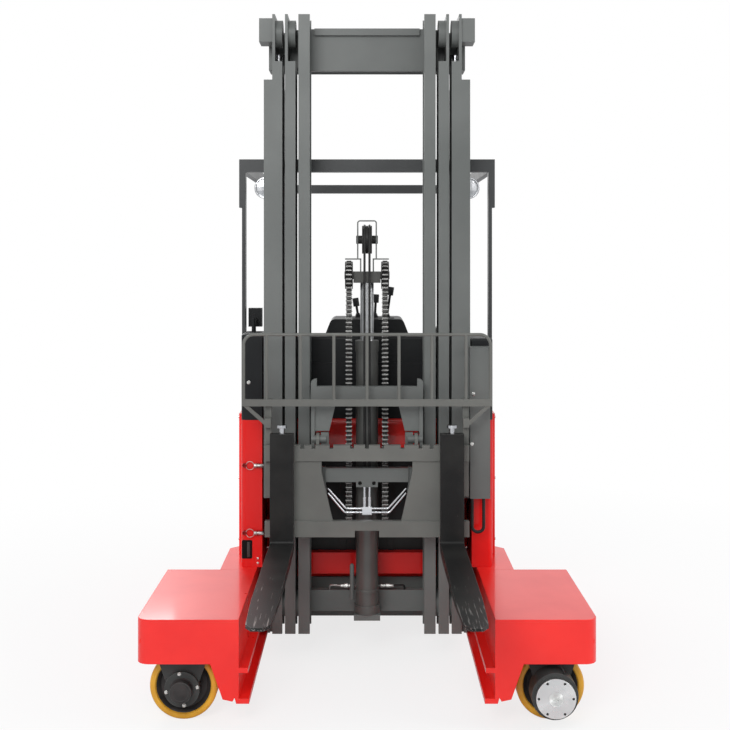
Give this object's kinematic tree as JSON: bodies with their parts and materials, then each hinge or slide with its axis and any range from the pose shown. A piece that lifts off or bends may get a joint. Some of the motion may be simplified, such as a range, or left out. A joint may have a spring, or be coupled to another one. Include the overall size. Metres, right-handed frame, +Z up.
{
  "type": "four-way reach truck",
  "caption": "Electric four-way reach truck with a three-stage mast, tilting forks on a notched carriage, load wheels in steered pods, side-seated cab and overhead guard.",
  "frame": {"origin": "on the floor, at the middle of the truck's length and width", "axes": "+Z up, -Y towards the fork tips, +X to the right seen from the forks"},
  "size_m": [1.748, 2.9, 2.85],
  "materials": {
    "red_paint": "glossy enamel",
    "black_plastic": "grained",
    "chrome": "ground and plated",
    "battery_case": "acid-proof paint",
    "cast_ballast": "rough",
    "black_steel": "worn black paint",
    "seat_cover": "woven",
    "mast_grey": "satin paint",
    "hose_rubber": "smooth",
    "chain_steel": "oiled",
    "silver_cover": "turned",
    "load_tyre": "cast polyurethane",
    "drive_tyre": "rubber"
  },
  "bodies": {
    "chassis": {"leg_left": "red_paint", "leg_right": "red_paint", "pod_cover_left": "red_paint", "pod_cover_right": "red_paint", "column_left": "red_paint", "column_right": "red_paint", "cupboard_left": "black_plastic", "cupboard_right": "black_plastic", "latch_pins": "chrome", "cross_beam": "red_paint", "battery": "battery_case", "battery_lid": "red_paint", "body_shell": "red_paint", "counterweight": "cast_ballast", "cab_floor": "black_steel", "control_console": "black_plastic", "control_levers": "black_plastic", "dash": "black_plastic", "steering_wheel": "black_plastic", "cab_cowl": "black_plastic", "seat_base": "black_plastic", "seat_cushion": "seat_cover", "seat_back": "seat_cover", "display": "black_plastic", "overhead_guard": "mast_grey", "work_lamps": "black_plastic", "reach_cylinder": "black_steel"},
    "mast_outer": {"mast_outer": "mast_grey", "reach_frame": "mast_grey", "reach_rod": "chrome", "lift_cylinders": "mast_grey", "hose_cover": "mast_grey", "cover_hose": "hose_rubber"},
    "mast_middle": {"mast_middle": "mast_grey", "lift_rods": "chrome"},
    "mast_inner": {"mast_inner": "mast_grey", "free_lift_cylinder": "mast_grey"},
    "crosshead": {"crosshead": "mast_grey", "crosshead_pulleys": "black_steel", "lift_chains": "chain_steel", "lift_hoses": "hose_rubber", "pulley_guard": "mast_grey"},
    "lift_carriage": {"lift_carriage": "mast_grey", "manifold": "chrome"},
    "tilt_rods": {"tilt_rods": "chrome"},
    "fork_carriage": {"fork_carriage": "mast_grey", "load_backrest": "mast_grey", "fork_left": "black_steel", "fork_right": "black_steel", "fork_pins": "chrome"},
    "yoke_left": {"yoke_left": "black_steel"},
    "yoke_right": {"yoke_right": "black_steel", "brake_disc": "silver_cover"},
    "load_wheel_left": {"load_wheel_left": "load_tyre"},
    "load_wheel_right": {"load_wheel_right": "load_tyre"},
    "drive_unit": {"drive_unit": "black_steel"},
    "drive_wheel": {"drive_wheel": "drive_tyre"}
  },
  "joints": [
    {"name": "reach", "type": "slide", "parent": "chassis", "child": "mast_outer", "axis": [0, -1, 0], "range_m": [0, 0.6]},
    {"name": "main_lift", "type": "slide", "parent": "mast_outer", "child": "mast_middle", "axis": [0, 0, 1], "range_m": [0, 2.1]},
    {"name": "inner_lift", "type": "slide", "parent": "mast_middle", "child": "mast_inner", "axis": [0, 0, 1], "range_m": [0, 2.1]},
    {"name": "free_lift", "type": "slide", "parent": "mast_inner", "child": "lift_carriage", "axis": [0, 0, 1], "range_m": [-0.5, 1.6]},
    {"name": "crosshead_lift", "type": "slide", "parent": "mast_inner", "child": "crosshead", "axis": [0, 0, 1], "range_m": [-0.25, 0.8]},
    {"name": "fork_tilt", "type": "hinge", "parent": "lift_carriage", "child": "fork_carriage", "pos_m": [0, -0.262, 0.99], "axis": [-1, 0, 0], "range_deg": [-2, 4]},
    {"name": "tilt_ram", "type": "slide", "parent": "lift_carriage", "child": "tilt_rods", "axis": [0, -1, 0], "range_m": [-0.0079, 0.0158]},
    {"name": "steer_left", "type": "hinge", "parent": "chassis", "child": "yoke_left", "pos_m": [-0.707, -0.765, 0.3], "axis": [0, 0, 1], "range_deg": [-90, 0]},
    {"name": "steer_right", "type": "hinge", "parent": "chassis", "child": "yoke_right", "pos_m": [0.707, -0.765, 0.3], "axis": [0, 0, 1], "range_deg": [0, 90]},
    {"name": "roll_left", "type": "hinge", "parent": "yoke_left", "child": "load_wheel_left", "pos_m": [-0.707, -0.765, 0.131], "axis": [0, 1, 0], "continuous": true},
    {"name": "roll_right", "type": "hinge", "parent": "yoke_right", "child": "load_wheel_right", "pos_m": [0.707, -0.765, 0.131], "axis": [0, 1, 0], "continuous": true},
    {"name": "steer_drive", "type": "hinge", "parent": "chassis", "child": "drive_unit", "pos_m": [0, 1.08, 0.45], "axis": [0, 0, 1], "range_deg": [-90, 90]},
    {"name": "roll_drive", "type": "hinge", "parent": "drive_unit", "child": "drive_wheel", "pos_m": [0, 1.08, 0.1715], "axis": [1, 0, 0], "continuous": true}
  ],
  "couplings": [
    {"joint": "inner_lift", "follows": "main_lift", "ratio": 1},
    {"joint": "crosshead_lift", "follows": "free_lift", "ratio": 0.5},
    {"joint": "tilt_ram", "follows": "fork_tilt", "m_per_rad": 0.225}
  ]
}
